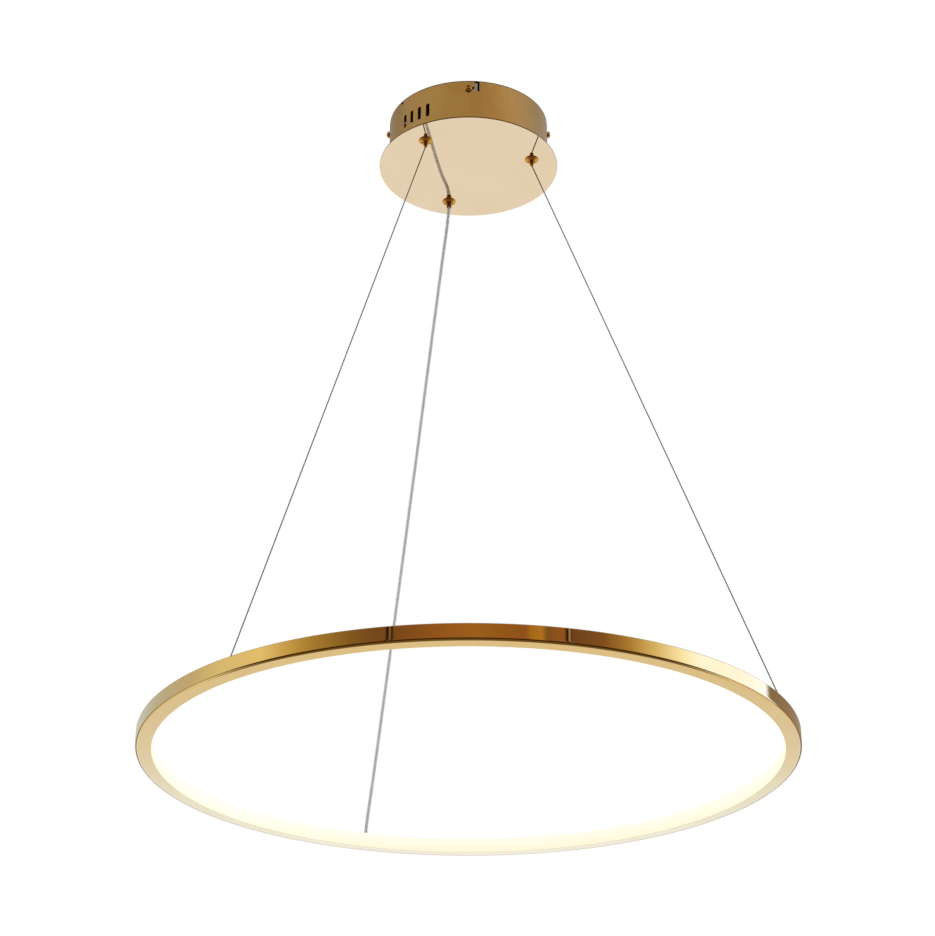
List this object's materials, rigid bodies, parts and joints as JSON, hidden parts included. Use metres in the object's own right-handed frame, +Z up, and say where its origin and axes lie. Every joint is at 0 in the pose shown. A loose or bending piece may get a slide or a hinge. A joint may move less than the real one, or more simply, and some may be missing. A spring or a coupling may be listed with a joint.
{
  "type": "led ring chandelier",
  "caption": "Inward-lit gold ring pendant, hung on two steel wires and a clear power cord from a round ceiling canopy, with height set by sprung wire grippers.",
  "frame": {"origin": "middle of the ceiling bracket's top face, in the ceiling plane", "axes": "+Z up through the lamp's axis, -Y towards the viewer of the picture, +X to the right"},
  "size_m": [0.5999, 0.6, 0.689],
  "materials": {
    "ring_gold": "polished gold-tone aluminium",
    "drum_gold": "satin gold-tone plated sheet steel",
    "plate_gold": "mirror-polished pale gold plated steel",
    "fitting_gold": "polished turned brass",
    "zinc_steel": "zinc-plated pressed steel",
    "wire_steel": "stranded stainless wire",
    "spring_steel": "bright spring steel",
    "clear_jacket": "clear soft plastic over twisted cores",
    "opal_diffuser": "opal plastic, lit warm white from behind",
    "strip_board": "white flexible circuit board",
    "driver_case": "white moulded plastic",
    "driver_board": "green circuit board",
    "winding_tape": "yellow taped windings",
    "can_black": "sleeved capacitor cans",
    "terminal_white": "moulded terminal block",
    "foam": "adhesive foam pad"
  },
  "bodies": {
    "bracket": {"ceiling_bracket": "zinc_steel", "side_screws": "fitting_gold", "terminal_block": "terminal_white"},
    "canopy": {"canopy_housing": "drum_gold", "canopy_plate": "plate_gold", "driver_pad": "foam", "driver_base": "driver_case", "driver_cover": "driver_case", "driver_board": "driver_board", "driver_transformer": "winding_tape", "driver_capacitors": "can_black", "wire_tail_left": "wire_steel", "wire_tail_right": "wire_steel", "gripper_bodies": "fitting_gold", "cap_nuts": "zinc_steel"},
    "ring": {"ring_profile": "ring_gold", "ring_diffuser": "opal_diffuser", "lamp_strip": "strip_board", "ring_joint_plate": "zinc_steel", "suspension_wire_left": "wire_steel", "suspension_wire_right": "wire_steel", "power_cord": "clear_jacket", "cord_bush_rear": "fitting_gold", "wire_ferrule_left": "zinc_steel", "wire_ferrule_right": "zinc_steel"},
    "nozzle_left": {"release_nozzle_left": "fitting_gold", "gripper_spring_left": "spring_steel"},
    "nozzle_right": {"release_nozzle_right": "fitting_gold", "gripper_spring_right": "spring_steel"},
    "nozzle_rear": {"release_nozzle_rear": "fitting_gold", "gripper_spring_rear": "spring_steel"}
  },
  "joints": [
    {"name": "canopy_twist", "type": "hinge", "parent": "bracket", "child": "canopy", "pos_m": [0, 0, 0], "axis": [0, 0, 1], "range_deg": [-6, 0]},
    {"name": "ring_height", "type": "slide", "parent": "canopy", "child": "ring", "axis": [0, 0, 1], "range_m": [-0.56, 0.34], "deforming": ["suspension_wire_left", "suspension_wire_right", "power_cord"]},
    {"name": "release_left", "type": "slide", "parent": "canopy", "child": "nozzle_left", "axis": [0, 0, 1], "range_m": [0, 0.0015], "stiffness_N_per_m": 400, "springref_m": -0.002, "deforming": ["gripper_spring_left"]},
    {"name": "release_right", "type": "slide", "parent": "canopy", "child": "nozzle_right", "axis": [0, 0, 1], "range_m": [0, 0.0015], "stiffness_N_per_m": 400, "springref_m": -0.002, "deforming": ["gripper_spring_right"]},
    {"name": "release_rear", "type": "slide", "parent": "canopy", "child": "nozzle_rear", "axis": [0, 0, 1], "range_m": [0, 0.0015], "stiffness_N_per_m": 400, "springref_m": -0.002, "deforming": ["gripper_spring_rear"]}
  ]
}
